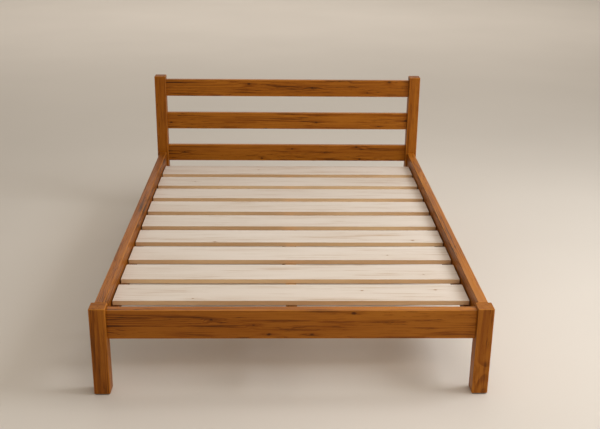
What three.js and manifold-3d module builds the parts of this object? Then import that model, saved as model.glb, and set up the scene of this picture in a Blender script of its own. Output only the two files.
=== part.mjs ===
// Low-foot wooden double bed frame, as the separate boards and fittings it is assembled from.
// Millimetres, +Z up. The origin is on the floor under the middle of the bed. +Y points to the
// headboard, and left is -X, as seen from the foot end.

import * as THREE from "three";
import { mergeVertices } from "three/addons/utils/BufferGeometryUtils.js";
import Module from "manifold-3d";

const wasm = await Module();
wasm.setup();

// ---------------------------------------------------------------- driving dimensions

const mattressWidth = 1400;
const mattressLength = 2000;
const mattressSidePlay = 9; // to each side rail
const mattressEndPlay = 3; // to the corner posts

const postSize = 62; // square section of head posts and foot legs
const postHeight = 812; // floor to the top of the head posts
const legHeight = 364; // floor to the tops of foot legs and side rails
const postArris = 4; // radius that the long edges are eased to
const postEndEase = 2; // chamfer at the top and bottom

const sideRail = { thickness: 38, height: 132, inset: 13, arris: 3 };
const footRail = { thickness: 36, height: 119, top: 351, setBack: 18, arris: 3 };
const headRail = { thickness: 24, height: 96, setBack: 18, arris: 3 };
const headRailTops = { top: 792, middle: 599, bottom: 406, base: 268 };

const slat = { count: 9, width: 153, thickness: 20, top: 312, sidePlay: 5, arris: 1.8, endEase: 1.2 };
const slatFootSpace = 129; // from the foot rail to the last slat
const slatHeadSpace = 121; // from the headboard to the first slat
const cleat = { width: 30, height: 30, endSpace: 86, arris: 2 };

const beam = { width: 44, height: 56, arris: 3 };
const beamStep = { height: 30, length: 150 }; // cut from the top of each end, clear of the end slats
const centreLeg = { width: 68, depth: 44, bottom: 30, cheekRise: 46, arris: 3, endEase: 2 };

const headTenon = { thickness: 12, length: 35, shoulder: 12 };
const footTenon = { thickness: 14, length: 30, shoulder: 20 };

const pad = { size: 56, thickness: 3, corner: 6 };

const bolt = { radius: 4, acrossFlats: 13, nutThickness: 6.5, headThickness: 5.3 };
const insert = { radius: 6, length: 15 };
const dowel = { radius: 5, intoPost: 15, intoRail: 29 };
const boltHeight = 280; // corner bolt above the floor
const dowelHeight = 335; // corner dowel above the floor
const pocket = { radius: 17.5, depth: 28, fromEnd: 55 };
const halfMoon = { radius: 17.2, flatFromCentre: 12, width: 17 };
const studEnds = { intoPost: 14.5, intoRail: 55.5 };

const bracket = { sheet: 2.5, seatDepth: 45, cheekHeight: 36, flange: 22 };
const screw = { radius: 2.2, length: 25, headRadius: 4.5, headHeight: 2.4, tip: 6 };

const foot = {
  padRadius: 25,
  rimHeight: 4,
  rimEase: 1,
  flareRadius: 12,
  flareTop: 7,
  hubRadius: 10,
  padHeight: 12,
  recess: 5,
  spigotRadius: 4.4,
};
const footScrew = { radius: 5, top: 62, tipEase: 1, neck: 1, collarFlats: 17, collarHeight: 6 };
const footInsert = { radius: 8, length: 25 };
const footBoreTop = 76; // the bore in the leg, above the highest that the screw turns to

const gap = 0.3; // left between two pieces that touch
const boltPlay = 0.5; // a bolt in its clearance hole
const overshoot = 2; // how far a cutting shape starts outside the wood
const roundSides = 16; // of bolts and their bores
const screwSides = 12; // of wood screws and their pilot holes
const latheSides = 24; // of the levelling foot
const pocketSides = 32;
const arrisSteps = 2; // half the facets that an eased edge or corner has
const washerSteps = 5; // half the facets of the half-moon washer's round side

// ---------------------------------------------------------------- worked out from them

const railLength = mattressLength + 2 * mattressEndPlay;
const overallLength = railLength + 2 * postSize;
const innerWidth = mattressWidth + 2 * mattressSidePlay;
const overallWidth = innerWidth + 2 * (sideRail.thickness + sideRail.inset);

const postX = (overallWidth - postSize) / 2;
const postY = (overallLength - postSize) / 2;
const betweenPosts = overallWidth - 2 * postSize;
const sideRailX = (innerWidth + sideRail.thickness) / 2;
const footRailY = -overallLength / 2 + footRail.setBack + footRail.thickness / 2;
const headRailY = overallLength / 2 - postSize + headRail.setBack + headRail.thickness / 2;
const footRailInside = footRailY + footRail.thickness / 2;
const headRailInside = headRailY - headRail.thickness / 2;

const slatStart = headRailInside - slatHeadSpace - slat.width / 2;
const slatEnd = footRailInside + slatFootSpace + slat.width / 2;
const slatPitch = (slatStart - slatEnd) / (slat.count - 1);
const underSlats = slat.top - slat.thickness - gap;
const beamBottom = underSlats - beam.height;
const bracketScrewHeight = beamBottom + bracket.cheekHeight / 2;
const bracketScrewX = beam.width / 2 + gap + bracket.sheet + bracket.flange / 2;

const ends = { foot: -1, head: 1 };
const sides = { left: -1, right: 1 };

const stained = new THREE.MeshStandardMaterial({ color: 0x9a5f2c, roughness: 0.5, metalness: 0 });
const pale = new THREE.MeshStandardMaterial({ color: 0xdac8b4, roughness: 0.75, metalness: 0 });
const beech = new THREE.MeshStandardMaterial({ color: 0xc9a77c, roughness: 0.8, metalness: 0 });
const zinc = new THREE.MeshStandardMaterial({ color: 0xb4b6b8, roughness: 0.35, metalness: 1 });
const felt = new THREE.MeshStandardMaterial({ color: 0x4a3a30, roughness: 1, metalness: 0 });
const plastic = new THREE.MeshStandardMaterial({ color: 0x1e1e1f, roughness: 0.6, metalness: 0 });

// ---------------------------------------------------------------- shaping

function toSolid(geometry) {
  const bare = geometry.clone();
  bare.deleteAttribute("normal");
  bare.deleteAttribute("uv");
  const welded = mergeVertices(bare, 1e-4);
  const mesh = new wasm.Mesh({
    numProp: 3,
    vertProperties: new Float32Array(welded.attributes.position.array),
    triVerts: new Uint32Array(welded.index.array),
  });
  return new wasm.Manifold(mesh);
}

function toGeometry(solid) {
  const mesh = solid.getMesh();
  const geometry = new THREE.BufferGeometry();
  geometry.setAttribute("position", new THREE.BufferAttribute(mesh.vertProperties, 3));
  geometry.setIndex(new THREE.BufferAttribute(mesh.triVerts, 1));
  geometry.computeVertexNormals();
  return geometry;
}

function cut(geometry, tools) {
  let solid = toSolid(geometry);
  for (const tool of tools) solid = solid.subtract(toSolid(tool));
  return toGeometry(solid);
}

function join(geometry, others) {
  let solid = toSolid(geometry);
  for (const other of others) solid = solid.add(toSolid(other));
  return toGeometry(solid);
}

// A rectangle with its corners rounded, centred on the origin.
function easedRectangle(width, height, radius) {
  const x = width / 2 - radius;
  const y = height / 2 - radius;
  const shape = new THREE.Shape();
  shape.moveTo(-x, -y - radius);
  shape.lineTo(x, -y - radius);
  shape.absarc(x, -y, radius, -Math.PI / 2, 0, false);
  shape.lineTo(x + radius, y);
  shape.absarc(x, y, radius, 0, Math.PI / 2, false);
  shape.lineTo(-x, y + radius);
  shape.absarc(-x, y, radius, Math.PI / 2, Math.PI, false);
  shape.lineTo(-x - radius, -y);
  shape.absarc(-x, -y, radius, Math.PI, (3 * Math.PI) / 2, false);
  return shape;
}

// A board centred on the origin, with its long arrises eased and, where endEase is given, its ends
// chamfered. grain is the axis that the board runs along.
function board(x, y, z, grain, arris, endEase = 0) {
  const sections = { x: [z, y, x], y: [x, z, y], z: [x, y, z] };
  const [width, height, length] = sections[grain];
  const geometry = new THREE.ExtrudeGeometry(easedRectangle(width, height, arris), {
    depth: length - 2 * endEase,
    curveSegments: arrisSteps,
    bevelEnabled: endEase > 0,
    bevelSize: endEase,
    bevelThickness: endEase,
    bevelOffset: -endEase,
    bevelSegments: 1,
  });
  geometry.translate(0, 0, endEase - length / 2);
  if (grain === "x") geometry.rotateY(Math.PI / 2);
  if (grain === "y") geometry.rotateX(Math.PI / 2);
  return geometry;
}

function block(x, y, z) {
  return new THREE.BoxGeometry(x, y, z);
}

// A round or six-sided bar centred on the origin, along the named axis.
function bar(radius, length, axis, facets = roundSides) {
  const geometry = new THREE.CylinderGeometry(radius, radius, length, facets);
  if (axis === "x") geometry.rotateZ(Math.PI / 2);
  if (axis === "z") geometry.rotateX(Math.PI / 2);
  return geometry;
}

function hexagon(acrossFlats, length, axis) {
  return bar(acrossFlats / Math.sqrt(3), length, axis, 6);
}

// A turned piece standing on the origin with its axis up. The outline is a list of [radius, height].
function turned(outline) {
  const points = outline.map(([radius, height]) => new THREE.Vector2(radius, height));
  return new THREE.LatheGeometry(points, latheSides).rotateX(Math.PI / 2);
}

function piece(name, geometry, material, x, y, z) {
  const mesh = new THREE.Mesh(geometry, material);
  mesh.name = name;
  mesh.position.set(x, y, z);
  return mesh;
}

// ---------------------------------------------------------------- posts, legs and rails

// Holes in a post or leg for one corner joint: the threaded insert and the dowel. facing is the
// direction in Y of the face that meets the side rail, and height is where the piece's middle is.
function cornerHoles(side, facing, height) {
  const x = side * (sideRailX - postX);
  const boreLength = insert.length + gap + overshoot;
  const dowelLength = dowel.intoPost + gap + overshoot;
  const insertY = facing * (postSize / 2 + overshoot - boreLength / 2);
  const dowelY = facing * (postSize / 2 + overshoot - dowelLength / 2);
  return [
    bar(insert.radius + gap, boreLength, "y").translate(x, insertY, boltHeight - height),
    bar(dowel.radius + gap, dowelLength, "y").translate(x, dowelY, dowelHeight - height),
  ];
}

// The mortise that holds one rail's tenon, cut into the inner face of a post or leg.
function mortise(side, tenon, rail, railTop, y, height) {
  const depth = tenon.length + gap + overshoot;
  const tall = rail.height - 2 * tenon.shoulder + 2 * gap;
  const x = -side * (postSize / 2 + overshoot - depth / 2);
  const z = railTop - rail.height / 2 - height;
  return block(depth, tenon.thickness + 2 * gap, tall).translate(x, y, z);
}

function post(top, side, facing, mortises) {
  const length = top - pad.thickness - gap;
  const height = top - length / 2;
  const wood = board(postSize, postSize, length, "z", postArris, postEndEase);
  const holes = mortises.map((m) => mortise(side, m.tenon, m.rail, m.top, m.y, height));
  const geometry = cut(wood, [...holes, ...cornerHoles(side, facing, height)]);
  return { geometry, height };
}

function headPost(side) {
  const y = headRailY - postY;
  const tops = Object.values(headRailTops);
  const mortises = tops.map((top) => ({ tenon: headTenon, rail: headRail, top, y }));
  const { geometry, height } = post(postHeight, sides[side], -ends.head, mortises);
  return piece(`head_post_${side}`, geometry, stained, sides[side] * postX, ends.head * postY, height);
}

function footLeg(side) {
  const y = footRailY + postY;
  const mortises = [{ tenon: footTenon, rail: footRail, top: footRail.top, y }];
  const { geometry, height } = post(legHeight, sides[side], -ends.foot, mortises);
  return piece(`foot_leg_${side}`, geometry, stained, sides[side] * postX, ends.foot * postY, height);
}

// A rail between two posts, with a tenon on each end.
function tenonedRail(rail, tenon) {
  const length = betweenPosts - 2 * gap;
  const wood = board(length, rail.thickness, rail.height, "x", rail.arris);
  const tongue = length + 2 * (tenon.length + gap);
  return join(wood, [block(tongue, tenon.thickness, rail.height - 2 * tenon.shoulder)]);
}

// Pilot holes for the two screws of a beam bracket, in the face of a rail that looks along facing.
function bracketPilots(rail, facing, height) {
  const length = screw.length + gap + overshoot;
  const y = facing * (rail.thickness / 2 + overshoot - length / 2);
  const z = bracketScrewHeight - height;
  return Object.values(sides).map((side) =>
    bar(screw.radius + gap, length, "y", screwSides).translate(side * bracketScrewX, y, z),
  );
}

function headboardRail(place) {
  const height = headRailTops[place] - headRail.height / 2;
  const plain = tenonedRail(headRail, headTenon);
  const geometry = place === "base" ? cut(plain, bracketPilots(headRail, -1, height)) : plain;
  return piece(`headboard_rail_${place}`, geometry, stained, 0, headRailY, height);
}

function footBoard() {
  const height = footRail.top - footRail.height / 2;
  const geometry = cut(tenonedRail(footRail, footTenon), bracketPilots(footRail, 1, height));
  return piece("foot_rail", geometry, stained, 0, footRailY, height);
}

// One side rail. At each end a bolt bore runs from the end to a round pocket in the inner face.
function sideBoard(side) {
  const length = railLength - 2 * gap;
  const height = legHeight - sideRail.height / 2;
  const wood = board(sideRail.thickness, length, sideRail.height, "y", sideRail.arris);
  const pocketLength = pocket.depth + overshoot;
  const pocketX = -sides[side] * (sideRail.thickness / 2 + overshoot - pocketLength / 2);
  const tools = Object.values(ends).flatMap((end) => {
    const pocketY = end * (railLength / 2 - pocket.fromEnd);
    const boreLength = pocket.fromEnd + overshoot;
    const boreY = end * (railLength / 2 + overshoot - boreLength / 2);
    const dowelLength = dowel.intoRail + gap + overshoot;
    const dowelY = end * (railLength / 2 + overshoot - dowelLength / 2);
    return [
      bar(pocket.radius, pocketLength, "x", pocketSides).translate(pocketX, pocketY, boltHeight - height),
      bar(bolt.radius + boltPlay, boreLength, "y").translate(0, boreY, boltHeight - height),
      bar(dowel.radius + gap, dowelLength, "y").translate(0, dowelY, dowelHeight - height),
    ];
  });
  return piece(`side_rail_${side}`, cut(wood, tools), stained, sides[side] * sideRailX, 0, height);
}

// ---------------------------------------------------------------- slats and what carries them

function slatCleat(side) {
  const length = railLength - 2 * cleat.endSpace;
  const geometry = board(cleat.width, length, cleat.height, "y", cleat.arris);
  const x = innerWidth / 2 - gap - cleat.width / 2;
  const z = underSlats - cleat.height / 2;
  return piece(`slat_cleat_${side}`, geometry, stained, sides[side] * x, 0, z);
}

function slatBoard(number) {
  const length = innerWidth - 2 * slat.sidePlay;
  const geometry = board(length, slat.width, slat.thickness, "x", slat.arris, slat.endEase);
  const y = slatStart - (number - 1) * slatPitch;
  return piece(`slat_${number}`, geometry, pale, 0, y, slat.top - slat.thickness / 2);
}

// The middle slat stands over the centre leg.
const centreLegY = slatStart - ((slat.count - 1) / 2) * slatPitch;
const centreBoltHeight = beamBottom + centreLeg.cheekRise / 2;

function centreBeam() {
  const clear = gap + bracket.sheet + gap;
  const start = footRailInside + clear;
  const end = headRailInside - clear;
  const middle = (start + end) / 2;
  const height = beamBottom + beam.height / 2;
  const wood = board(beam.width, end - start, beam.height, "y", beam.arris);
  const hole = bar(bolt.radius + boltPlay, beam.width + 2 * overshoot, "x");
  hole.translate(0, centreLegY - middle, centreBoltHeight - height);
  const stepLength = beamStep.length + overshoot;
  const stepY = (end - start) / 2 + overshoot - stepLength / 2;
  const stepZ = (beam.height - beamStep.height + overshoot) / 2;
  const steps = Object.values(ends).map((direction) => {
    const step = block(beam.width + 2 * overshoot, stepLength, beamStep.height + overshoot);
    return step.translate(0, direction * stepY, stepZ);
  });
  return piece("centre_beam", cut(wood, [hole, ...steps]), stained, 0, middle, height);
}

// The leg's top is forked over the beam. Its bottom is bored for the levelling foot.
function forkedLeg() {
  const seat = beamBottom - gap;
  const top = beamBottom + centreLeg.cheekRise;
  const length = top - centreLeg.bottom;
  const height = centreLeg.bottom + length / 2;
  const wood = board(centreLeg.width, centreLeg.depth, length, "z", centreLeg.arris, centreLeg.endEase);
  const slotTall = top - seat + overshoot;
  const slot = block(beam.width + 2 * gap, centreLeg.depth + 2 * overshoot, slotTall);
  slot.translate(0, 0, seat + slotTall / 2 - height);
  const boltHole = bar(bolt.radius + boltPlay, centreLeg.width + 2 * overshoot, "x");
  boltHole.translate(0, 0, centreBoltHeight - height);
  const insertBore = bar(footInsert.radius + gap, footInsert.length + gap + overshoot, "z", latheSides);
  insertBore.translate(0, 0, centreLeg.bottom + (footInsert.length + gap - overshoot) / 2 - height);
  const screwBoreTall = footBoreTop - centreLeg.bottom;
  const screwBore = bar(footScrew.radius + boltPlay, screwBoreTall, "z", latheSides);
  screwBore.translate(0, 0, centreLeg.bottom + screwBoreTall / 2 - height);
  const geometry = cut(wood, [slot, boltHole, insertBore, screwBore]);
  return piece("centre_leg", geometry, stained, 0, centreLegY, height);
}

// A folded sheet-steel seat for one end of the beam. It stands on the origin, against a rail
// whose face is at y = 0, and reaches along +Y.
function bracketGeometry() {
  const inner = beam.width + 2 * gap;
  const outer = inner + 2 * bracket.sheet;
  const wide = outer + 2 * bracket.flange;
  const plate = block(wide, bracket.sheet, bracket.cheekHeight);
  plate.translate(0, bracket.sheet / 2, bracket.cheekHeight / 2);
  const seat = block(outer, bracket.seatDepth, bracket.cheekHeight);
  seat.translate(0, bracket.seatDepth / 2, bracket.cheekHeight / 2);
  const hollow = block(inner, bracket.seatDepth, bracket.cheekHeight);
  hollow.translate(0, bracket.seatDepth / 2 + bracket.sheet, bracket.cheekHeight / 2 + bracket.sheet);
  const holes = Object.values(sides).map((side) => {
    const hole = bar(screw.radius + gap, 2 * (bracket.sheet + overshoot), "y", screwSides);
    return hole.translate(side * bracketScrewX, 0, bracketScrewHeight - beamBottom + gap + bracket.sheet);
  });
  return cut(join(plate, [seat]), [hollow, ...holes]);
}

// A pan-head wood screw along +Y, with the underside of its head at y = 0.
function screwGeometry() {
  const { radius, length, headRadius, headHeight, tip } = screw;
  const outline = [
    [0, -length],
    [radius, tip - length],
    [radius, 0],
    [headRadius, 0],
    [headRadius, headHeight / 2],
    [headRadius / 2, headHeight],
    [0, headHeight],
  ];
  const points = outline.map(([across, along]) => new THREE.Vector2(across, along));
  return new THREE.LatheGeometry(points, screwSides);
}

function beamBracket(end) {
  const group = new THREE.Group();
  const facing = -ends[end];
  group.position.set(0, end === "foot" ? footRailInside : headRailInside, 0);
  group.rotation.z = facing > 0 ? 0 : Math.PI;
  const seatHeight = beamBottom - gap - bracket.sheet;
  group.add(piece(`beam_bracket_${end}`, bracketGeometry(), zinc, 0, gap, seatHeight));
  for (const [side, direction] of Object.entries(sides)) {
    const x = direction * facing * bracketScrewX;
    const y = bracket.sheet + 2 * gap;
    const name = `bracket_screw_${end}_${side}`;
    group.add(piece(name, screwGeometry(), zinc, x, y, bracketScrewHeight));
  }
  return group;
}

// The shank starts inside the head, so that the two join.
function centreLegBolt() {
  const headMiddle = -centreLeg.width / 2 - gap - bolt.headThickness / 2;
  const tip = centreLeg.width / 2 + 2 * gap + bolt.nutThickness + bolt.radius;
  const shank = bar(bolt.radius, tip - headMiddle, "x").translate((tip + headMiddle) / 2, 0, 0);
  const head = hexagon(bolt.acrossFlats, bolt.headThickness, "x").translate(headMiddle, 0, 0);
  return piece("centre_leg_bolt", join(head, [shank]), zinc, 0, centreLegY, centreBoltHeight);
}

function nutGeometry(axis) {
  const hole = bar(bolt.radius + gap, bolt.nutThickness + 2 * overshoot, axis);
  return cut(hexagon(bolt.acrossFlats, bolt.nutThickness, axis), [hole]);
}

function centreLegNut() {
  const x = centreLeg.width / 2 + gap + bolt.nutThickness / 2;
  return piece("centre_leg_nut", nutGeometry("x"), zinc, x, centreLegY, centreBoltHeight);
}

// ---------------------------------------------------------------- levelling foot of the centre leg

function footPad() {
  const socketRadius = foot.spigotRadius + gap;
  const geometry = turned([
    [0, 0],
    [foot.padRadius - foot.rimEase, 0],
    [foot.padRadius, foot.rimEase],
    [foot.padRadius, foot.rimHeight],
    [foot.flareRadius, foot.flareTop],
    [foot.hubRadius, foot.padHeight],
    [socketRadius, foot.padHeight],
    [socketRadius, foot.recess],
    [0, foot.recess],
  ]);
  return piece("centre_foot_pad", geometry, plastic, 0, centreLegY, 0);
}

function levellingScrew() {
  const bottom = foot.recess + gap;
  const collarBottom = foot.padHeight + gap;
  const rod = turned([
    [0, bottom],
    [foot.spigotRadius, bottom],
    [foot.spigotRadius, collarBottom + footScrew.neck],
    [footScrew.radius, collarBottom + footScrew.neck],
    [footScrew.radius, footScrew.top - footScrew.tipEase],
    [footScrew.radius - footScrew.tipEase, footScrew.top],
    [0, footScrew.top],
  ]);
  const collar = hexagon(footScrew.collarFlats, footScrew.collarHeight, "z");
  collar.translate(0, 0, collarBottom + footScrew.collarHeight / 2);
  return piece("centre_foot_screw", join(rod, [collar]), zinc, 0, centreLegY, 0);
}

function levellingInsert() {
  const sleeve = bar(footInsert.radius, footInsert.length, "z", latheSides);
  const bore = bar(footScrew.radius + gap, footInsert.length + 2 * overshoot, "z", latheSides);
  const z = centreLeg.bottom + footInsert.length / 2;
  return piece("centre_foot_insert", cut(sleeve, [bore]), zinc, 0, centreLegY, z);
}

// ---------------------------------------------------------------- corner joints and pads

function threadedInsert() {
  const bore = bar(bolt.radius + gap, insert.length + 2 * overshoot, "y");
  return cut(bar(insert.radius, insert.length, "y"), [bore]);
}

// A segment of a disc whose round side fits the pocket wall and whose flat side takes the nut.
// Its round side faces +Y, and the origin is the centre of the pocket.
function halfMoonWasher() {
  const { radius, flatFromCentre, width } = halfMoon;
  const half = Math.acos(flatFromCentre / radius);
  const shape = new THREE.Shape();
  shape.absarc(0, 0, radius, Math.PI / 2 - half, Math.PI / 2 + half, false);
  shape.closePath();
  const options = { depth: width, curveSegments: washerSteps, bevelEnabled: false };
  const segment = new THREE.ExtrudeGeometry(shape, options);
  segment.translate(0, 0, -width / 2).rotateY(Math.PI / 2);
  const hole = bar(bolt.radius + boltPlay, 2 * radius, "y").translate(0, radius, 0);
  return cut(segment, [hole]);
}

// Everything that holds one side rail to its post or leg. In the group's own frame the rail's end
// is at y = 0 and the post is towards +Y.
function cornerJoint(end, side) {
  const group = new THREE.Group();
  group.position.set(sides[side] * sideRailX, (ends[end] * railLength) / 2, 0);
  group.rotation.z = ends[end] > 0 ? 0 : Math.PI;
  const studLength = studEnds.intoPost + studEnds.intoRail;
  const studY = studEnds.intoPost - studLength / 2;
  const dowelLength = dowel.intoPost + dowel.intoRail;
  const dowelY = dowel.intoPost - dowelLength / 2;
  const nutY = halfMoon.flatFromCentre - pocket.fromEnd - gap - bolt.nutThickness / 2;
  const parts = [
    ["threaded_insert", threadedInsert(), zinc, insert.length / 2, boltHeight],
    ["bolt_stud", bar(bolt.radius, studLength, "y"), zinc, studY, boltHeight],
    ["half_moon_washer", halfMoonWasher(), zinc, -pocket.fromEnd, boltHeight],
    ["bolt_nut", nutGeometry("y"), zinc, nutY, boltHeight],
    ["rail_dowel", bar(dowel.radius, dowelLength, "y"), beech, dowelY, dowelHeight],
  ];
  for (const [name, geometry, material, y, z] of parts) {
    group.add(piece(`${name}_${end}_${side}`, geometry, material, 0, y, z));
  }
  return group;
}

function feltPad(end, side) {
  const shape = easedRectangle(pad.size, pad.size, pad.corner);
  const options = { depth: pad.thickness, curveSegments: arrisSteps, bevelEnabled: false };
  const geometry = new THREE.ExtrudeGeometry(shape, options);
  return piece(`felt_pad_${end}_${side}`, geometry, felt, sides[side] * postX, ends[end] * postY, 0);
}

// ---------------------------------------------------------------- assembly

const bedFrame = new THREE.Group();

for (const side of Object.keys(sides)) {
  bedFrame.add(headPost(side));
  bedFrame.add(footLeg(side));
  bedFrame.add(sideBoard(side));
  bedFrame.add(slatCleat(side));
  for (const end of Object.keys(ends)) {
    bedFrame.add(cornerJoint(end, side));
    bedFrame.add(feltPad(end, side));
  }
}
for (const place of Object.keys(headRailTops)) bedFrame.add(headboardRail(place));
bedFrame.add(footBoard());
for (let number = 1; number <= slat.count; number += 1) bedFrame.add(slatBoard(number));
bedFrame.add(centreBeam());
bedFrame.add(forkedLeg());
bedFrame.add(centreLegBolt());
bedFrame.add(centreLegNut());
for (const end of Object.keys(ends)) bedFrame.add(beamBracket(end));
bedFrame.add(levellingInsert());
bedFrame.add(levellingScrew());
bedFrame.add(footPad());

export default bedFrame;
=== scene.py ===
"""The looks of the wooden bed frame.

Every board and fitting gets its finish, and the fasteners get their heads and threads. A plain floor,
soft light and a camera complete the scene. Lengths are in metres.
"""

import math
import random

import bmesh
import bpy
from mathutils import Matrix, Vector


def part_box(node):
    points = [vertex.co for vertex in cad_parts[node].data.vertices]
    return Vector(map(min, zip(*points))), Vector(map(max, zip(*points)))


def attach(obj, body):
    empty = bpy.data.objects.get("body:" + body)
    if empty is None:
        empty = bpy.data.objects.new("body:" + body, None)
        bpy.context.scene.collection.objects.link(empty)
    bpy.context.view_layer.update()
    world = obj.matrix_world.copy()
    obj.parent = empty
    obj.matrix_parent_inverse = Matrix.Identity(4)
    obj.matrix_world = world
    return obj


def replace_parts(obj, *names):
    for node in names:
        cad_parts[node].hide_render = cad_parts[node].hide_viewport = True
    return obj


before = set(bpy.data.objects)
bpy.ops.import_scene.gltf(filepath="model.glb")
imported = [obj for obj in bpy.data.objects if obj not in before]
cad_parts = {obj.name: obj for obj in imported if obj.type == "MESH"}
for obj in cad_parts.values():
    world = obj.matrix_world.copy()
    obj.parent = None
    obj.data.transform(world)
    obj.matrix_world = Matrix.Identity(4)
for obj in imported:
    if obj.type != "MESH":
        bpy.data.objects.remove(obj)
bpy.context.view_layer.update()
scene = bpy.context.scene

MM = 0.001
AXES = {"x": 0, "y": 1, "z": 2}


# ------------------------------------------------------------------ node trees

# the places of a Mix node's colour sockets
MIX_FACTOR, MIX_FIRST, MIX_SECOND, MIX_RESULT = 0, 6, 7, 2


class Finish:
    """One material and short ways to add nodes to it. Inputs are sockets or plain numbers."""

    def __init__(self, name):
        self.material = bpy.data.materials.new(name)
        self.material.use_nodes = True
        self.tree = self.material.node_tree
        self.tree.nodes.clear()

    def feed(self, socket, value):
        if isinstance(value, bpy.types.NodeSocket):
            self.tree.links.new(value, socket)
        else:
            socket.default_value = value

    def node(self, kind, inputs, **settings):
        made = self.tree.nodes.new("ShaderNode" + kind)
        for key, value in settings.items():
            setattr(made, key, value)
        for key, value in inputs.items():
            self.feed(made.inputs[key], value)
        return made

    def math(self, operation, *values):
        return self.node("Math", dict(enumerate(values)), operation=operation).outputs[0]

    def times(self, first, second):
        return self.math("MULTIPLY", first, second)

    def plus(self, base, value, share):
        """base with a share of value added."""
        return self.math("MULTIPLY_ADD", value, share, base)

    def vector(self, operation, *values):
        made = self.node("VectorMath", dict(enumerate(values)), operation=operation)
        return made.outputs["Value" if operation == "LENGTH" else "Vector"]

    def combine(self, x, y, z):
        return self.node("CombineXYZ", {"X": x, "Y": y, "Z": z}).outputs[0]

    def step(self, value, start, end, low=0.0, high=1.0):
        """low before start, high after end, and smooth in between."""
        inputs = {
            "Value": value,
            "From Min": start,
            "From Max": end,
            "To Min": low,
            "To Max": high,
        }
        return self.node("MapRange", inputs, interpolation_type="SMOOTHSTEP").outputs[0]

    def noise(self, vector, scale=1.0, detail=2.0, roughness=0.5):
        inputs = {
            "Vector": vector,
            "Scale": scale,
            "Detail": detail,
            "Roughness": roughness,
        }
        return self.node("TexNoise", inputs).outputs[0]

    def mix(self, factor, first, second):
        made = self.node("Mix", {}, data_type="RGBA")
        self.feed(made.inputs[MIX_FACTOR], factor)
        self.feed(made.inputs[MIX_FIRST], first)
        self.feed(made.inputs[MIX_SECOND], second)
        return made.outputs[MIX_RESULT]

    def ramp(self, value, stops):
        made = self.node("ValToRGB", {"Fac": value})
        points = made.color_ramp.elements
        while len(points) < len(stops):
            points.new(0.5)
        for point, (place, colour) in zip(points, stops):
            point.position = place
            point.color = colour
        return made.outputs[0]

    def surface(self, colour, roughness, height, depth, **constants):
        """The shader. Constants are set on its own sockets."""
        bump = self.node("Bump", {"Height": height, "Distance": depth, "Strength": 1.0})
        inputs = {
            "Base Color": colour,
            "Roughness": roughness,
            "Normal": bump.outputs[0],
        }
        shader = self.node("BsdfPrincipled", {**inputs, **constants})
        output = self.node("OutputMaterial", {})
        self.tree.links.new(shader.outputs[0], output.inputs[0])
        return self.material


def rgb(red, green, blue):
    """A colour given as 0 to 255 display values, as the linear one that sockets take."""

    def linear(value):
        value /= 255
        return value / 12.92 if value <= 0.04045 else ((value + 0.055) / 1.055) ** 2.4

    return linear(red), linear(green), linear(blue), 1.0


# ------------------------------------------------------------------ wood

# The colour runs from light to dark as the marks in the wood add up, each by its share. "edge" is the
# colour of the arrises, partly rubbing and partly a painted highlight, and the narrow faces have a
# colour of their own, partly sawn wood and partly painted warm bounce light, as far as their shares say.
# On the slats the narrow faces' arrises carry a painted shadow line. "ring" is the width of a year's
# growth, and "depth" the height of the relief.
STAINED = {
    "light": rgb(180, 110, 28),
    "middle": rgb(146, 79, 9),
    "dark": rgb(76, 39, 4),
    "knot": rgb(58, 28, 6),
    # the arrises' colour: partly rubbed stain, partly a painted highlight
    "edge": rgb(200, 132, 54),
    "sawn_edge": rgb(200, 132, 54),
    "edge_share": 0.5,
    "sawn_and_bounce": rgb(146, 79, 9),
    "sawn_and_bounce_dark": rgb(128, 66, 8),
    "sawn_and_bounce_share": 0.0,
    "ring": 0.0074,
    "ring_share": 0.5,
    "streak_share": 0.56,
    "fleck_share": 0.95,
    "fibre_share": 0.6,
    "pore_share": 0.25,
    "pore_depth": 0.6,
    "broad_share": 0.8,
    "tail_share": 0.26,
    "knot_spacing": (0.17, 0.075),
    "knot_radius": (0.0026, 0.0066),
    "knot_chance": 0.42,
    "rough": (0.38, 0.52),
    "specular": 0.17,
    "depth": 0.22 * MM,
}
POST = {**STAINED, "ring_share": 0.34, "streak_share": 0.34, "fleck_share": 0.55}
# the cleats are darker than the other stained wood as painted shade, for they sit in shadow under the
# slats
CLEAT_WITH_PAINTED_SHADE = {
    **STAINED,
    "light": rgb(120, 66, 18),
    "middle": rgb(92, 47, 10),
    "dark": rgb(54, 26, 5),
    "edge": rgb(128, 76, 28),
    "sawn_edge": rgb(128, 76, 28),
}
BEAM = {
    **STAINED,
    "light": rgb(200, 158, 112),
    "middle": rgb(178, 135, 91),
    "dark": rgb(138, 98, 62),
    "edge": rgb(196, 154, 110),
    "sawn_edge": rgb(196, 154, 110),
}
PALE = {
    "light": rgb(223, 210, 198),
    "middle": rgb(213, 198, 183),
    "dark": rgb(180, 144, 108),
    "knot": rgb(150, 106, 66),
    # the arrises' colour: partly rubbing, partly a painted highlight
    "edge": rgb(226, 210, 194),
    # a painted shadow line along the arrises of the narrow faces
    "sawn_edge": rgb(176, 128, 82),
    "edge_share": 0.45,
    # the narrow faces' colour: partly sawn wood, partly painted warm bounce light
    "sawn_and_bounce": rgb(250, 212, 158),
    "sawn_and_bounce_dark": rgb(226, 180, 124),
    "sawn_and_bounce_share": 0.8,
    "ring": 0.0058,
    "ring_share": 0.42,
    "streak_share": 0.36,
    "fleck_share": 0.22,
    "fibre_share": 0.4,
    "pore_share": 0.04,
    "pore_depth": 0.12,
    "broad_share": 0.6,
    "tail_share": 0.2,
    "knot_spacing": (0.32, 0.16),
    "knot_radius": (0.003, 0.0065),
    "knot_chance": 0.3,
    "rough": (0.62, 0.78),
    "specular": 0.3,
    "depth": 0.18 * MM,
}
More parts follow.
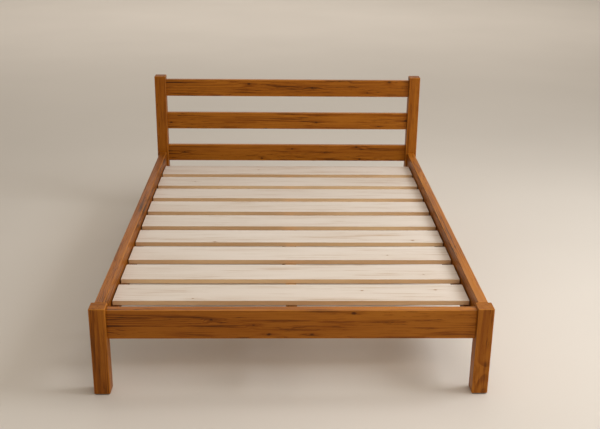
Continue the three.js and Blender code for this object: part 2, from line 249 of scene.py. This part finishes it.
BEECH = {
    **PALE,
    "light": rgb(214, 182, 140),
    "middle": rgb(200, 164, 120),
    "dark": rgb(168, 128, 86),
    "sawn_and_bounce_share": 0.0,
    "knot_chance": 0.0,
}

# how much darker a board is than its look, or lighter where it is below zero: partly the board's own
# tone and partly painted light and shade, the left side rail and post darker and the right side rail
# lighter for light from the right, and the back slats darker for the headboard's shade
TONE_AND_PAINTED_LIGHT = {
    "side_rail_left": 0.14,
    "side_rail_right": -0.06,
    "head_post_left": 0.12,
    "head_post_right": 0.04,
    "headboard_rail_bottom": -0.05,
    "slat_1": 0.13,
    "slat_2": 0.06,
    "slat_3": -0.04,
    "slat_6": -0.06,
}
BASE_TONE = 0.16  # how dark a board is between its marks
TONE_SPREAD = 0.04  # how far chance takes a board's tone either way
MIDDLE_TONE = 0.42  # where a look's middle colour is, from 0, its light one, to 1, its dark one

# the noises that the marks are made of: waves per metre along and across the grain, an offset that
# keeps each apart from the others, detail and roughness
PATTERNS = {
    "wobble": (110, 230, 3, 2.0, 0.6),
    "drift": (0.9, 6, 0, 2.0, 0.5),
    "waver": (5, 26, 7, 3.0, 0.5),
    "bold": (1.6, 16, 11, 2.0, 0.5),
    "streak": (3.2, 62, 17, 4.0, 0.6),
    "cluster": (3.5, 22, 19, 2.0, 0.5),
    "fleck": (13, 210, 21, 3.0, 0.6),
    "fibre": (9, 520, 23, 3.0, 0.6),
    "pore": (55, 1500, 29, 1.0, 0.5),
    "broad": (1.0, 6, 31, 2.0, 0.5),
    "arris_wobble": (14, 60, 37, 3.0, 0.6),
    "gloss": (5, 90, 41, 3.0, 0.5),
}

# where in its noise a mark begins, and where it has its full strength
MARKS = {
    "bold": (0.35, 0.65),
    "streak": (0.52, 0.7),
    "cluster": (0.42, 0.62),
    "fleck": (0.56, 0.7),
    "pore": (0.66, 0.76),
    "gloss": (0.3, 0.7),
}
NARROW_FACE_BANDS = (0.38, 0.62)  # where the broad noise takes a narrow face from its colour to its dark one
FAINTEST_RING = 0.1  # how strong a ring stays where it isn't bold

# a knot's parts are drawn out along the grain: their width over their length, and where they begin
# and end to fade, the core's in shares of its radius
CORE_SQUEEZE, CORE_FADE = 0.62, (0.3, 1.5)
TAIL_SQUEEZE, TAIL_FADE = 0.16, (0.001, 0.011)
FLOW_SQUEEZE, FLOW_FADE = 0.3, (0.0, 0.03)
CELL_FADE = (0.0, 0.16)
CORE_WOBBLE = 0.007

# how far each of these bends the growth rings, and how uneven the years are, in years
DRIFT_BEND, WAVER_BEND, KNOT_BEND = 0.03, 0.005, 0.009
YEAR_WOBBLE = 1.8

# within a year, where the late wood darkens, and where it ends
DARKENS, ENDS = (0.25, 0.8), (0.86, 0.99)

# how far from an arris its colour goes, rubbing with a painted highlight and on the slats' narrow faces
# a painted shadow line, from all of it to none
WORN_AND_LIT = (0.0008, 0.0042)
WORN_AND_LIT_WOBBLE = 0.006

# how squarely a surface has to face sideways or lengthwise to count as a narrow face or an end
SIDEWAYS, LENGTHWISE = (0.6, 0.9), (0.8, 0.97)

# how strongly knots and ends are coloured, and how much rougher an end is
KNOT_STRENGTH, END_STRENGTH = 0.85, 0.18
END_ROUGHNESS = 0.12

# the relief of each, in shares of a look's depth
FIBRE_HEIGHT, LATE_HEIGHT, KNOT_HEIGHT = 0.7, 0.35, 0.3


class Wood(Finish):
    """Solid wood cut from one log: rings about an off-centre pith, fibres, pores, streaks, knots, and
    arrises partly rubbed and partly painted highlights. The box is the board's own, and the grain the
    axis it runs along."""

    def __init__(self, name, look, box, grain, seed, tone_and_light):
        super().__init__(name)
        self.look = look
        self.tone_and_light = tone_and_light
        self.chance = random.Random(seed)
        low, high = box
        self.size = high - low
        along = AXES[grain]
        wide, thin = sorted((i for i in range(3) if i != along), key=lambda i: -self.size[i])
        self.width = self.size[wide]
        place = self.node("TexCoord", {})
        local = self.vector("SUBTRACT", place.outputs["Object"], tuple((low + high) / 2))
        self.split = self.node("SeparateXYZ", {0: local}).outputs
        self.u, self.v, self.w = self.split[along], self.split[wide], self.split[thin]
        self.shift = [self.chance.uniform(-40, 40) for _ in range(3)]
        normal = self.node("SeparateXYZ", {0: place.outputs["Normal"]}).outputs
        self.on_side = self.step(self.math("ABSOLUTE", normal[wide]), *SIDEWAYS)
        self.on_end = self.step(self.math("ABSOLUTE", normal[along]), *LENGTHWISE)

    def pattern(self, name):
        """One of the noises, stretched along the grain."""
        lengthwise, crosswise, offset, detail, roughness = PATTERNS[name]
        x = self.math("MULTIPLY_ADD", self.u, lengthwise, self.shift[0] + offset)
        y = self.math("MULTIPLY_ADD", self.v, crosswise, self.shift[1] - offset)
        z = self.math("MULTIPLY_ADD", self.w, crosswise, self.shift[2] + offset)
        return self.noise(self.combine(x, y, z), detail=detail, roughness=roughness)

    def mark(self, name, low=0.0, high=1.0):
        return self.step(self.pattern(name), *MARKS[name], low, high)

    def knots(self):
        """Small knots on the wide faces: their cores, the dark tails beside them, and how much the
        grain flows past them. Each has a cell to itself, and fades out before the cell's border."""
        long, wide = self.look["knot_spacing"]
        x = self.math("MULTIPLY_ADD", self.u, 1 / long, self.shift[0])
        y = self.math("MULTIPLY_ADD", self.v, 1 / wide, self.shift[1])
        cell = self.combine(x, y, 0.0)
        inputs = {"Vector": cell, "Scale": 1.0}
        flat = {"voronoi_dimensions": "2D"}
        cells = self.node("TexVoronoi", inputs, **flat).outputs
        border = self.node("TexVoronoi", inputs, **flat, feature="DISTANCE_TO_EDGE").outputs["Distance"]
        chosen = self.node("SeparateColor", {0: cells["Color"]}).outputs
        present = self.math("LESS_THAN", chosen[0], self.look["knot_chance"])
        present = self.times(present, self.step(border, *CELL_FADE))
        on_face = self.times(present, self.math("SUBTRACT", 1.0, self.on_side))
        away = self.vector("SUBTRACT", cell, cells["Position"])

        def from_middle(squeeze):
            return self.vector("LENGTH", self.vector("MULTIPLY", away, (long * squeeze, wide, 0.0)))

        def fading(distance, fade):
            return self.step(distance, *fade, low=1.0, high=0.0)

        wobble = self.math("SUBTRACT", self.pattern("wobble"), 0.5)
        reach = self.plus(from_middle(CORE_SQUEEZE), wobble, CORE_WOBBLE)
        radius = self.step(chosen[1], 0.0, 1.0, *self.look["knot_radius"])
        core = fading(self.math("DIVIDE", reach, radius), CORE_FADE)
        tail = fading(from_middle(TAIL_SQUEEZE), TAIL_FADE)
        flow = fading(from_middle(FLOW_SQUEEZE), FLOW_FADE)
        return self.times(on_face, core), self.times(on_face, tail), self.times(present, flow)

    def late_wood(self, flow):
        """The dark part of each growth ring. The pith lies off the board, mostly past its edge, so
        that the rings cross the face steeply and draw long straight lines on it."""
        lean = self.chance.uniform(0.004, 0.014) * self.chance.choice((-1, 1))
        turn = self.chance.uniform(0.15, 1.0) * self.chance.choice((-1, 1))
        pith_far = self.width / 2 + self.chance.uniform(0.02, 0.06)
        off_v = self.plus(self.v, self.u, lean)
        off_v = self.math("SUBTRACT", off_v, pith_far * math.cos(turn))
        off_w = self.math("SUBTRACT", self.w, pith_far * math.sin(turn))
        radius = self.vector("LENGTH", self.combine(off_v, off_w, 0.0))
        radius = self.plus(radius, self.pattern("drift"), DRIFT_BEND)
        radius = self.plus(radius, self.pattern("waver"), WAVER_BEND)
        radius = self.plus(radius, flow, KNOT_BEND)
        years = self.math("DIVIDE", radius, self.look["ring"])
        uneven = self.noise(self.combine(years, *self.shift[1:]), scale=0.6, detail=1.0)
        season = self.math("FRACT", self.plus(years, uneven, YEAR_WOBBLE))
        late = self.times(self.step(season, *DARKENS), self.step(season, *ENDS, low=1.0, high=0.0))
        return self.times(late, self.mark("bold", low=FAINTEST_RING))

    def worn_and_lit_arris(self):
        """How strongly an arris takes its colour, partly rubbing and partly a painted highlight, and a
        painted shadow line on the slats' narrow faces. The second nearest face of the board's box is
        close there.
        """
        gaps = [
            self.math("SUBTRACT", self.size[i] / 2, self.math("ABSOLUTE", self.split[i]))
            for i in range(3)
        ]
        nearer = self.math("MINIMUM", gaps[0], gaps[1])
        farther = self.math("MAXIMUM", gaps[0], gaps[1])
        second = self.math("MAXIMUM", nearer, self.math("MINIMUM", farther, gaps[2]))
        arris_wobble = self.math("SUBTRACT", self.pattern("arris_wobble"), 0.5)
        reach = self.plus(second, arris_wobble, WORN_AND_LIT_WOBBLE)
        return self.step(reach, *WORN_AND_LIT, low=self.look["edge_share"], high=0.0)

    def finish(self):
        look = self.look
        knot, tail, flow = self.knots()
        late = self.late_wood(flow)
        cluster = self.math("MAXIMUM", self.mark("cluster"), tail)
        marks = {
            "ring": late,
            "streak": self.mark("streak"),
            "fleck": self.times(self.mark("fleck"), cluster),
            "fibre": self.pattern("fibre"),
            "pore": self.mark("pore"),
            "broad": self.pattern("broad"),
            "tail": tail,
        }
        dark = 0.0
        for name, strength in marks.items():
            dark = self.plus(dark, strength, look[name + "_share"])

        # fibres and broad bands vary about their average, and so leave the tone as it is
        level = BASE_TONE - look["fibre_share"] / 2 - look["broad_share"] / 2 + self.tone_and_light
        dark = self.math("ADD", dark, level + self.chance.uniform(-TONE_SPREAD, TONE_SPREAD))

        stops = [(0.0, look["light"]), (MIDDLE_TONE, look["middle"]), (1.0, look["dark"])]
        colour = self.ramp(dark, stops)
        # the narrow faces: partly the colour of sawn wood, partly painted warm bounce light
        sawn_and_bounce = self.mix(self.step(marks["broad"], *NARROW_FACE_BANDS), look["sawn_and_bounce"], look["sawn_and_bounce_dark"])
        colour = self.mix(self.times(self.on_side, look["sawn_and_bounce_share"]), colour, sawn_and_bounce)
        colour = self.mix(self.times(knot, KNOT_STRENGTH), colour, look["knot"])
        colour = self.mix(self.times(self.on_end, END_STRENGTH), colour, look["dark"])
        # the arrises: partly rubbing, partly a painted highlight, and on the slats' narrow faces a
        # painted shadow line
        edge = self.mix(self.on_side, look["edge"], look["sawn_edge"])
        colour = self.mix(self.worn_and_lit_arris(), colour, edge)

        roughness = self.plus(self.mark("gloss", *look["rough"]), self.on_end, END_ROUGHNESS)
        height = self.plus(self.times(marks["fibre"], FIBRE_HEIGHT), late, LATE_HEIGHT)
        height = self.plus(height, marks["pore"], -look["pore_depth"])
        height = self.plus(height, knot, KNOT_HEIGHT)
        constants = {"Specular IOR Level": look["specular"]}
        return self.surface(colour, roughness, height, look["depth"], **constants)


# ------------------------------------------------------------------ steel, felt and plastic


def zinc_steel():
    """Zinc plate: cloudy, with fine bright scratches."""
    f = Finish("zinc_plated_steel")
    place = f.node("TexCoord", {}).outputs["Object"]
    cloud = f.noise(place, scale=90.0, detail=3.0)
    stretched = f.node("Mapping", {"Vector": place, "Scale": (900, 900, 60)}).outputs[0]
    scratch = f.step(f.noise(stretched), 0.58, 0.7)
    dull, clear, bare = (0.46, 0.46, 0.44, 1), (0.66, 0.67, 0.66, 1), (0.8, 0.81, 0.82, 1)
    colour = f.ramp(cloud, [(0.3, dull), (0.7, clear)])
    colour = f.mix(f.times(scratch, 0.35), colour, bare)
    roughness = f.step(cloud, 0.3, 0.7, low=0.42, high=0.28)
    roughness = f.plus(roughness, scratch, 0.1)
    height = f.math("SUBTRACT", cloud, f.times(scratch, 0.5))
    return f.surface(colour, roughness, height, depth=0.05 * MM, Metallic=1.0)


def felt():
    """Pressed felt: a fine tangle of fibres, in clumps."""
    f = Finish("pressed_felt")
    place = f.node("TexCoord", {}).outputs["Object"]
    tangle = f.noise(place, scale=1400.0, detail=4.0, roughness=0.7)
    clump = f.noise(place, scale=160.0, detail=3.0)
    shade = f.math("ADD", f.times(tangle, 0.7), f.times(clump, 0.3))
    stops = [(0.32, rgb(48, 36, 28)), (0.5, rgb(84, 66, 53)), (0.68, rgb(122, 102, 86))]
    roughness = f.step(clump, 0.3, 0.7, low=0.86, high=1.0)
    constants = {"Sheen Weight": 0.3}
    return f.surface(f.ramp(shade, stops), roughness, tangle, depth=0.6 * MM, **constants)


def black_plastic():
    """Moulded nylon with a fine spark texture."""
    f = Finish("moulded_black_plastic")
    place = f.node("TexCoord", {}).outputs["Object"]
    spark = f.node("TexVoronoi", {"Vector": place, "Scale": 1500.0}).outputs["Distance"]
    smear = f.noise(place, scale=70.0, detail=3.0)
    colour = f.ramp(smear, [(0.3, rgb(22, 22, 23)), (0.7, rgb(40, 40, 42))])
    roughness = f.step(smear, 0.3, 0.7, low=0.42, high=0.6)
    return f.surface(colour, roughness, spark, depth=0.08 * MM)


# ------------------------------------------------------------------ finishes for the CAD nodes

GRAIN = {
    "head_post": "z",
    "foot_leg": "z",
    "centre_leg": "z",
    "side_rail": "y",
    "slat_cleat": "y",
    "centre_beam": "y",
    "rail_dowel": "y",
    "headboard_rail": "x",
    "foot_rail": "x",
    "slat": "x",
}
WOOD_EASING = 0.6 * MM
FITTING_EASING = 0.35 * MM
EASED_FROM = math.radians(40)  # edges flatter than this stay as they are
STEEL = zinc_steel()
FELT = felt()
PLASTIC = black_plastic()


def wood_look(node):
    if node.startswith("rail_dowel"):
        return BEECH
    if node.startswith("slat_cleat"):
        return CLEAT_WITH_PAINTED_SHADE
    if node == "centre_beam":
        return BEAM
    if node.startswith("slat_"):
        return PALE
    if node.startswith(("head_post", "foot_leg", "centre_leg")):
        return POST
    return STAINED


def grain_of(node):
    """The axis a wooden node runs along, or None where it isn't wood. The longest match wins."""
    if node.startswith("centre_leg_"):
        return None
    names = [key for key in GRAIN if node.startswith(key)]
    return GRAIN[max(names, key=len)] if names else None


def finish_for(node, seed):
    if node.startswith("felt_pad"):
        return FELT
    if node == "centre_foot_pad":
        return PLASTIC
    grain = grain_of(node)
    if grain is None:
        return STEEL
    # the board's tone, partly its own and partly painted light and shade
    tone_and_light = TONE_AND_PAINTED_LIGHT.get(node, 0.0)
    return Wood("wood_" + node, wood_look(node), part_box(node), grain, seed, tone_and_light).finish()


def smooth_all():
    """A modifier group that welds the imported corners and shades every face smooth."""
    group = bpy.data.node_groups.new("weld_and_smooth", "GeometryNodeTree")
    group.interface.new_socket("Mesh", in_out="INPUT", socket_type="NodeSocketGeometry")
    group.interface.new_socket("Mesh", in_out="OUTPUT", socket_type="NodeSocketGeometry")
    start = group.nodes.new("NodeGroupInput")
    merge = group.nodes.new("GeometryNodeMergeByDistance")
    merge.inputs["Distance"].default_value = 0.01 * MM
    smooth = group.nodes.new("GeometryNodeSetShadeSmooth")
    end = group.nodes.new("NodeGroupOutput")
    group.links.new(start.outputs[0], merge.inputs[0])
    group.links.new(merge.outputs[0], smooth.inputs[0])
    group.links.new(smooth.outputs[0], end.inputs[0])
    return group


SMOOTH = smooth_all()


def soften(obj, width):
    """Rounds an object's sharp edges a little, so that they catch light."""
    obj.modifiers.new("weld", "NODES").node_group = SMOOTH
    flat = obj.modifiers.new("flat", "DECIMATE")
    flat.decimate_type = "DISSOLVE"
    flat.angle_limit = math.radians(0.5)
    bevel = obj.modifiers.new("bevel", "BEVEL")
    bevel.width = width
    bevel.segments = 2
    bevel.limit_method = "ANGLE"
    bevel.angle_limit = EASED_FROM
    bevel.use_clamp_overlap = True
    normals = obj.modifiers.new("normals", "WEIGHTED_NORMAL")
    normals.weight = 100


for seed, (node, obj) in enumerate(sorted(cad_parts.items())):
    material = finish_for(node, seed)
    obj.data.materials.clear()
    obj.data.materials.append(material)
    if grain_of(node):
        soften(obj, WOOD_EASING)
    elif not node.startswith("felt_pad"):
        soften(obj, FITTING_EASING)


# ------------------------------------------------------------------ screws and threads
# a fastener is made with its head up and its bearing face at the origin

SIDES = 24
RINGS_PER_TURN = 6
SHARP = math.radians(38)
SPIN = random.Random(11)  # turns each fastener about its own axis

GAP = 0.3 * MM  # between two pieces that touch
M8 = {"radius": 4 * MM, "pitch": 1.25 * MM}
M10 = {"radius": 5 * MM, "pitch": 1.5 * MM}
NUT_BORE = 4.2 * MM
LEG_BOLT_THREAD = 22 * MM
COLLAR_HEIGHT = 6 * MM

# the levelling screw's spigot: its radius, that of its tip, and the height of the easing between them
SPIGOT, SPIGOT_TIP, SPIGOT_EASING = 4.4 * MM, 4.0 * MM, 0.4 * MM

# crest is the radius over the thread, and head that of the head
RAIL_SCREW = {"length": 45 * MM, "crest": 2.0 * MM, "head": 4.0 * MM, "height": 2.4 * MM}
SLAT_SCREW = {**RAIL_SCREW, "length": 40 * MM}
BRACKET_SCREW = {"crest": 2.2 * MM, "height": 2.4 * MM}

# a pan head from its recess outward, in shares of its radius and height
DOME = ((0.64, 0.97), (0.82, 0.86), (0.95, 0.62), (1.0, 0.34), (1.0, 0.0))


def circle(radius, height):
    turns = [2 * math.pi * k / SIDES for k in range(SIDES)]
    return [(radius * math.cos(a), radius * math.sin(a), height) for a in turns]


def cross(reach, width, height):
    """The outline of a cross recess, six points to each arm."""
    half = width / 2
    elbow = (reach + half) / 2
    arm = [(reach, 0), (reach, half), (elbow, half), (half, half), (half, elbow), (half, reach)]
    points = []
    for cos, sin in ((1, 0), (0, 1), (-1, 0), (0, -1)):
        points += [(x * cos - y * sin, x * sin + y * cos, height) for x, y in arm]
    return points


def thread(core, crest, pitch, start, end):
    """Level rings from start to end. The crest climbs round them as a helix, and fades at both ends."""
    count = round(abs(end - start) / pitch * RINGS_PER_TURN)
    rings = []
    for i in range(count + 1):
        height = start + (end - start) * i / count
        depth = min(1.0, i / RINGS_PER_TURN, (count - i) / RINGS_PER_TURN) * (crest - core)
        ring = []
        for k, (x, y, z) in enumerate(circle(1.0, height)):
            phase = (height / pitch - k / SIDES) % 1.0
            radius = core + depth * (1.0 - abs(2.0 * phase - 1.0))
            ring.append((x * radius, y * radius, z))
        rings.append(ring)
    return rings


def loft(name, rings, bored=False):
    """A closed mesh through rings of points. Its ends have faces or, if it is bored, join each other."""
    bm = bmesh.new()
    rows = [[bm.verts.new(point) for point in ring] for ring in rings]
    after = rows[1:] + rows[:1] if bored else rows[1:]
    for first, second in zip(rows, after):
        for k in range(SIDES):
            j = (k + 1) % SIDES
            bm.faces.new((first[k], first[j], second[j], second[k]))
    if not bored:
        bm.faces.new(rows[0])
        bm.faces.new(rows[-1])
    bmesh.ops.recalc_face_normals(bm, faces=bm.faces)
    mesh = bpy.data.meshes.new(name)
    bm.to_mesh(mesh)
    bm.free()
    mesh.shade_smooth()
    mesh.set_sharp_from_angle(angle=SHARP)
    mesh.materials.append(STEEL)
    return mesh


def pan_head_screw(name, length, crest, head, height):
    """A wood screw with a domed head, a cross recess, a plain neck and a point."""
    core = 0.62 * crest
    neck = 0.74 * crest
    thread_start = -0.3 * length
    thread_end = -length + 3 * crest
    rings = [
        cross(0.28 * head, 0.16 * head, 0.25 * height),
        cross(0.52 * head, 0.22 * head, 0.99 * height),
    ]
    rings += [circle(across * head, up * height) for across, up in DOME]
    rings += [circle(neck, 0.0), circle(neck, thread_start)]
    rings += thread(core, crest, 0.9 * crest, thread_start, thread_end)
    rings.append(circle(0.1 * crest, -length))
    return loft(name, rings)


def rod(start, end, radius, pitch):
    """The rings of a metric thread with bevelled ends, between two heights."""
    core = radius - 0.61 * pitch
    bevel = math.copysign(0.6 * pitch, end - start)
    rings = [circle(core - 0.3 * pitch, start)]
    rings += thread(core, radius, pitch, start + bevel, end - bevel)
    rings.append(circle(core - 0.3 * pitch, end))
    return rings


def hexagon(flats, start, end):
    """The rings of a six-sided head or nut between two heights, its corners bevelled at both."""
    bevel = 0.12 * (end - start)
    cut, full = 0.96, 1.1  # how far a corner may reach, in halves of the width over the flats
    rings = []
    for height, limit in ((start, cut), (start + bevel, full), (end - bevel, full), (end, cut)):
        ring = []
        for k, (x, y, z) in enumerate(circle(flats / 2, height)):
            corner = math.radians(60 * k / (SIDES / 6) % 60 - 30)
            radius = min(1 / math.cos(corner), limit)
            ring.append((x * radius, y * radius, z))
        rings.append(ring)
    return rings


def fasten(name, mesh, point, outward, body="bed_frame"):
    """Puts a fastener in place with its head facing outward."""
    piece = bpy.data.objects.new(name, mesh)
    scene.collection.objects.link(piece)
    aim = Vector(outward).to_track_quat("Z", "Y").to_matrix().to_4x4()
    spin = Matrix.Rotation(SPIN.uniform(0, math.pi), 4, "Z")
    piece.matrix_world = Matrix.Translation(point) @ aim @ spin
    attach(piece, body)
    return piece


def centre(node):
    low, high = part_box(node)
    return (low + high) / 2


def add_cleat_screws():
    """Every cleat is screwed to its side rail between the slats, and to each slat from below."""
    into_rail = pan_head_screw("cleat_screw", **RAIL_SCREW)
    into_slat = pan_head_screw("slat_screw", **SLAT_SCREW)
    slats = [centre(f"slat_{n}") for n in range(1, 10)]
    for side, sign in (("left", -1), ("right", 1)):
        low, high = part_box("slat_cleat_" + side)
        middle = (low + high) / 2
        inner = high.x if sign < 0 else low.x
        for n, (first, second) in enumerate(zip(slats, slats[1:]), 1):
            point = (inner, (first.y + second.y) / 2, middle.z)
            fasten(f"cleat_screw_{side}_{n}", into_rail, point, (-sign, 0, 0))
        for n, place in enumerate(slats, 1):
            point = (middle.x, place.y, low.z)
            fasten(f"slat_screw_{side}_{n}", into_slat, point, (0, 0, -1))


def add_bracket_screws():
    """Two screws hold each beam bracket to its rail."""
    height = BRACKET_SCREW["height"]
    for end, facing in (("foot", 1), ("head", -1)):
        for side in ("left", "right"):
            node = f"bracket_screw_{end}_{side}"
            low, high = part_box(node)
            head = (high.x - low.x) / 2
            length = high.y - low.y - height
            mesh = pan_head_screw(node, length, head=head, **BRACKET_SCREW)
            top = high.y if facing > 0 else low.y
            point = ((low.x + high.x) / 2, top - facing * height, (low.z + high.z) / 2)
            piece = fasten("detailed_" + node, mesh, point, (0, facing, 0))
            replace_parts(piece, node)


def add_corner_studs():
    """A double-ended stud runs from each leg or post into the pocket of its side rail."""
    for end in ("foot", "head"):
        for side in ("left", "right"):
            node = f"bolt_stud_{end}_{side}"
            low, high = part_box(node)
            radius = (high.z - low.z) / 2
            half = (high.y - low.y) / 2
            mesh = loft(node, rod(half, -half, radius, M8["pitch"]))
            piece = fasten("threaded_" + node, mesh, (low + high) / 2, (0, 1, 0))
            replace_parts(piece, node)


def nut(name, flats, thickness, bore):
    """A nut on the origin, its threaded hole flared at both faces."""
    flare = 0.08 * thickness
    rings = hexagon(flats, 0.0, thickness)
    rings += [circle(bore + flare, thickness), circle(bore, thickness - flare)]
    rings += [circle(bore, flare), circle(bore + flare, 0.0)]
    return loft(name, rings, bored=True)


def add_nuts():
    """The corner nuts bear on their washers, and the centre leg's on the leg."""
    places = [("centre_leg_nut", AXES["x"], 1)]
    for end, facing in (("foot", 1), ("head", -1)):
        places += [(f"bolt_nut_{end}_{side}", AXES["y"], facing) for side in ("left", "right")]
    for node, axis, facing in places:
        low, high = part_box(node)
        size = high - low
        outward = Vector((0, 0, 0))
        outward[axis] = facing
        flats = min(size[i] for i in range(3) if i != axis)
        mesh = nut(node, flats, size[axis], NUT_BORE)
        point = centre(node) - outward * size[axis] / 2
        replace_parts(fasten("bevelled_" + node, mesh, point, outward), node)


def add_leg_bolt():
    """A hexagon bolt through the centre leg and the beam, threaded over its last stretch."""
    node = "centre_leg_bolt"
    low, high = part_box(node)
    flats = min(high.y - low.y, high.z - low.z)
    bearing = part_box("centre_leg")[0].x - GAP
    length = high.x - bearing
    thread_start = LEG_BOLT_THREAD - length
    rings = hexagon(flats, bearing - low.x, 0.0)
    rings += [circle(M8["radius"], 0.0), circle(M8["radius"], thread_start)]
    rings += rod(thread_start, -length, **M8)
    point = (bearing, (low.y + high.y) / 2, (low.z + high.z) / 2)
    piece = fasten("threaded_" + node, loft(node, rings), point, (-1, 0, 0))
    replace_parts(piece, node)


def add_levelling_screw():
    """A spigot in the pad's socket, a collar for a spanner, and a thread above it."""
    node = "centre_foot_screw"
    low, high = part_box(node)
    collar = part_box("centre_foot_pad")[1].z + GAP
    collar_top = collar + COLLAR_HEIGHT
    flats = min(high.x - low.x, high.y - low.y)
    rings = [circle(SPIGOT_TIP, low.z), circle(SPIGOT, low.z + SPIGOT_EASING), circle(SPIGOT, collar)]
    rings += hexagon(flats, collar, collar_top)
    rings += rod(collar_top, high.z, **M10)
    point = (*centre(node).xy, 0)
    piece = fasten("threaded_" + node, loft(node, rings), point, (0, 0, 1), "levelling_screw")
    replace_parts(piece, node)


add_cleat_screws()
add_bracket_screws()
add_corner_studs()
add_nuts()
add_leg_bolt()
add_levelling_screw()


# ------------------------------------------------------------------ floor, light and camera

FLOOR_REACH = 40.0
FLOOR_HEIGHT = -0.4 * MM  # just clear of what stands on it

# the surroundings are brighter behind the headboard than behind the camera
WORLD_COLOUR = (0.60, 0.56, 0.49, 1)
WORLD_FADE = {"From Min": -0.7, "From Max": 0.7, "To Min": 0.3, "To Max": 0.85}

LIGHTS = {
    "overhead": {
        "place": (1.2, -0.7, 3.6),
        "target": (0.2, -0.5, 0.3),
        "size": (3.6, 3.4),
        "power": 50,
        "colour": (1.0, 0.965, 0.91),
    },
    "window": {
        "place": (3.5, -0.8, 3.3),
        "target": (0.4, -0.4, 0.3),
        "size": (2.0, 1.8),
        "power": 103,
        "colour": (0.88, 0.94, 1.0),
    },
    "front": {
        "place": (1.2, -4.6, 3.0),
        "target": (0.1, 0, 0.3),
        "size": (3.0, 2.0),
        "power": 40,
        "colour": (1.0, 0.9, 0.78),
    },
    "backdrop": {
        "place": (0, 9.6, 5),
        "target": (0, 9.6, 0),
        "size": (12, 7),
        "power": 300,
        "colour": (1.0, 0.97, 0.93),
    },
}

CAMERA_PLACE = (-0.0561, -4.0858, 1.8593)
CAMERA_LENS = 53.965
PITCH, YAW, ROLL = 0.3542, 0.0264, 0.0114  # down, to the right, and right side up, in radians


def pale_floor():
    f = Finish("floor_paint")
    place = f.node("TexCoord", {}).outputs["Object"]
    cloud = f.noise(place, scale=0.6)
    colour = f.ramp(cloud, [(0.3, rgb(214, 204, 193)), (0.7, rgb(219, 209, 198))])
    roughness = f.step(cloud, 0.3, 0.7, low=0.85, high=0.9)
    return f.surface(colour, roughness, cloud, depth=0.0)


def add_floor():
    mesh = bpy.data.meshes.new("floor")
    corners = [(-1, -1), (1, -1), (1, 1), (-1, 1)]
    points = [(x * FLOOR_REACH, y * FLOOR_REACH, FLOOR_HEIGHT) for x, y in corners]
    mesh.from_pydata(points, [], [(0, 1, 2, 3)])
    mesh.materials.append(pale_floor())
    floor = bpy.data.objects.new("floor", mesh)
    scene.collection.objects.link(floor)


def add_world():
    world = bpy.data.worlds.new("studio")
    scene.world = world
    world.use_nodes = True
    tree = world.node_tree
    background = tree.nodes["Background"]
    background.inputs["Color"].default_value = WORLD_COLOUR
    place = tree.nodes.new("ShaderNodeTexCoord")
    split = tree.nodes.new("ShaderNodeSeparateXYZ")
    fade = tree.nodes.new("ShaderNodeMapRange")
    for key, value in WORLD_FADE.items():
        fade.inputs[key].default_value = value
    tree.links.new(place.outputs["Generated"], split.inputs[0])
    tree.links.new(split.outputs["Y"], fade.inputs["Value"])
    tree.links.new(fade.outputs[0], background.inputs["Strength"])


def area_light(name, place, target, size, power, colour):
    data = bpy.data.lights.new(name, "AREA")
    data.shape = "RECTANGLE"
    data.size, data.size_y = size
    data.energy = power
    data.color = colour
    light = bpy.data.objects.new(name, data)
    light.location = place
    aim = Vector(target) - Vector(place)
    light.rotation_euler = aim.to_track_quat("-Z", "Y").to_euler()
    scene.collection.objects.link(light)


def add_camera():
    """The viewing angle: down onto the bed from beyond its foot end, a little left of the middle."""
    data = bpy.data.cameras.new("camera")
    data.sensor_fit = "HORIZONTAL"
    data.sensor_width = 36.0
    data.lens = CAMERA_LENS
    data.clip_end = 200.0
    level_part = math.cos(PITCH)
    ahead = Vector((math.sin(YAW) * level_part, math.cos(YAW) * level_part, -math.sin(PITCH)))
    level = Vector((math.cos(YAW), -math.sin(YAW), 0))
    above = level.cross(ahead)
    right = math.cos(ROLL) * level + math.sin(ROLL) * above
    up = -math.sin(ROLL) * level + math.cos(ROLL) * above
    turn = Matrix((right, up, -ahead)).transposed().to_4x4()
    camera = bpy.data.objects.new("camera", data)
    camera.matrix_world = Matrix.Translation(CAMERA_PLACE) @ turn
    scene.collection.objects.link(camera)
    scene.camera = camera


add_floor()
add_world()
for name, light in LIGHTS.items():
    area_light(name, **light)
add_camera()
scene.view_settings.view_transform = "Standard"
